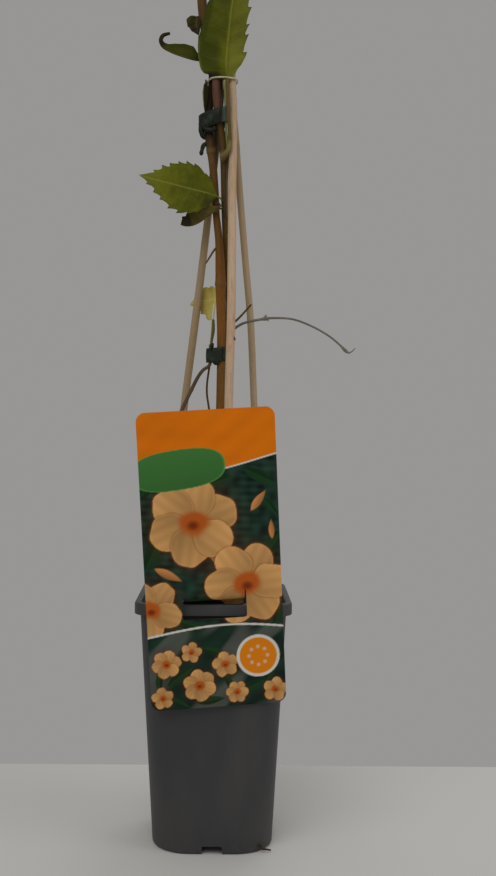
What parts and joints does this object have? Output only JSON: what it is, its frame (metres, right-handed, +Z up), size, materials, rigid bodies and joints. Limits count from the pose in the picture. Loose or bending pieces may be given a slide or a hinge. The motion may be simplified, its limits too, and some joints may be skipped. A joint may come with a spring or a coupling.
{
  "type": "potted trumpet vine on canes",
  "caption": "Tall tapered square nursery pot with a climbing vine: woody stems tied to a tripod of canes, a few toothed leaflets, a bare arched stalk and a hanging picture label.",
  "frame": {"origin": "centre of the pot's foot, on the surface it stands on", "axes": "+Z up along the canes, -Y towards the side with the label, +X to the right seen from there"},
  "size_m": [0.1723, 0.1472, 0.7254],
  "materials": {
    "pot": "matt moulded, dark grey",
    "soil": "crumbly, dark brown",
    "cane": "satin, straw-coloured, with nodes",
    "ring": "smooth, cream",
    "tie": "satin, dark grey-green ribbon",
    "card": "printed on the front, white behind",
    "bark": "fibrous, brown, with paler nodes",
    "olive": "smooth, olive-brown",
    "twig": "dry, grey-brown",
    "green": "satin, yellow-green, with pale veins",
    "dark": "matt, dark green, curled",
    "pale": "matt, pale yellow, dry"
  },
  "bodies": {
    "root": {"pot": "pot", "soil": "soil", "cane_left": "cane", "cane_right": "cane", "cane_front": "cane", "top_ring": "ring", "tie_upper": "tie", "tie_lower": "tie", "label": "card", "stem_main": "bark", "stem_second": "olive", "shoot_left": "twig", "shoot_thin": "olive", "stalk_long": "green", "stalk_bare": "twig", "leaf_top": "green", "leaf_curled": "green", "leaf_dark": "dark", "leaf_sliver": "dark", "leaf_middle": "green", "leaf_folded": "dark", "leaf_pale": "pale", "leaf_young_left": "green", "leaf_young_back": "green"}
  },
  "joints": []
}
